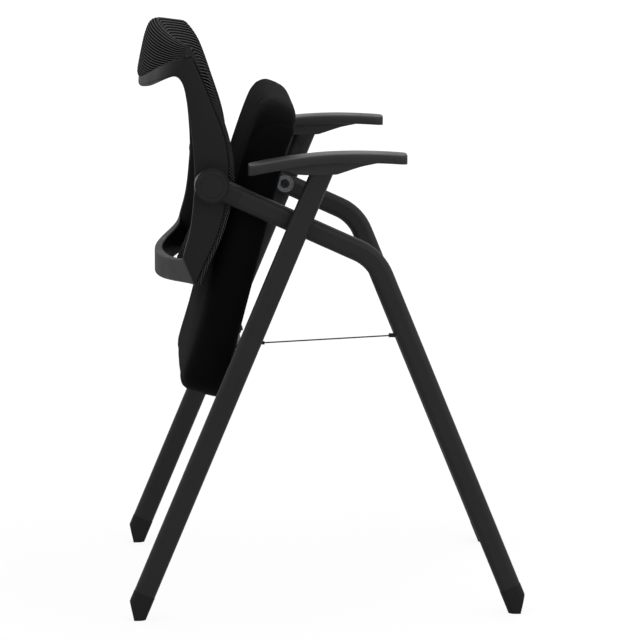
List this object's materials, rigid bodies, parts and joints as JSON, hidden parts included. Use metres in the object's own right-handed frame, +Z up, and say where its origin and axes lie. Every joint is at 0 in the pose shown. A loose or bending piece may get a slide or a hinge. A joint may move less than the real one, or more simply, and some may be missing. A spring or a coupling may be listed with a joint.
{
  "type": "nesting chair",
  "caption": "Armchair with a bent oval tube frame, an upholstered seat that folds up against a curved mesh back, and short arms.",
  "frame": {"origin": "on the floor, midway between the feet from front to rear and from side to side", "axes": "+X towards the front of the chair, +Y towards the sitter's left, +Z up"},
  "size_m": [0.564, 0.595, 0.835],
  "materials": {
    "tube": "satin powder coat",
    "foot_plastic": "matte",
    "arm_plastic": "fine grained",
    "hub_plastic": "satin",
    "back_plastic": "satin",
    "mesh_fabric": "ribbed knit",
    "seat_fabric": "woven",
    "board": "black stained plywood",
    "black_steel": "black oxide",
    "bright_steel": "zinc plated",
    "wire_steel": "dark, drawn",
    "rubber": "matte",
    "bush_plastic": "matte"
  },
  "bodies": {
    "frame": {"rear_leg_right": "tube", "rear_leg_left": "tube", "side_tube_right": "tube", "side_tube_left": "tube", "rear_feet": "foot_plastic", "front_feet": "foot_plastic", "arm_support_right": "arm_plastic", "arm_support_left": "arm_plastic", "arm_pad_right": "arm_plastic", "arm_pad_left": "arm_plastic", "arm_screws": "black_steel", "crossing_spacers": "foot_plastic", "crossing_bolts": "black_steel", "saddle_washers": "bright_steel", "crossing_nuts": "bright_steel", "seat_axle": "tube", "stay_wire": "wire_steel", "stay_lugs": "foot_plastic", "knuckle_right": "hub_plastic", "knuckle_left": "hub_plastic", "hub_caps": "hub_plastic", "hub_bolts": "bright_steel", "hub_nuts": "bright_steel", "flex_rings": "rubber"},
    "back": {"back_frame": "back_plastic", "back_mesh": "mesh_fabric", "hub_bushes": "bush_plastic"},
    "seat": {"seat_cushion": "seat_fabric", "seat_board": "board", "hinge_brackets": "black_steel", "hinge_bushes": "bush_plastic", "bracket_screws": "black_steel", "tee_nuts": "bright_steel"}
  },
  "joints": [
    {"name": "back_tilt", "type": "hinge", "parent": "frame", "child": "back", "pos_m": [-0.16311, 0, 0.61735], "axis": [0, -1, 0], "range_deg": [0, 3.5], "stiffness_Nm_per_rad": 350},
    {"name": "seat_fold", "type": "hinge", "parent": "frame", "child": "seat", "pos_m": [-0.12341, 0, 0.354], "axis": [0, 1, 0], "range_deg": [0, 73]}
  ]
}
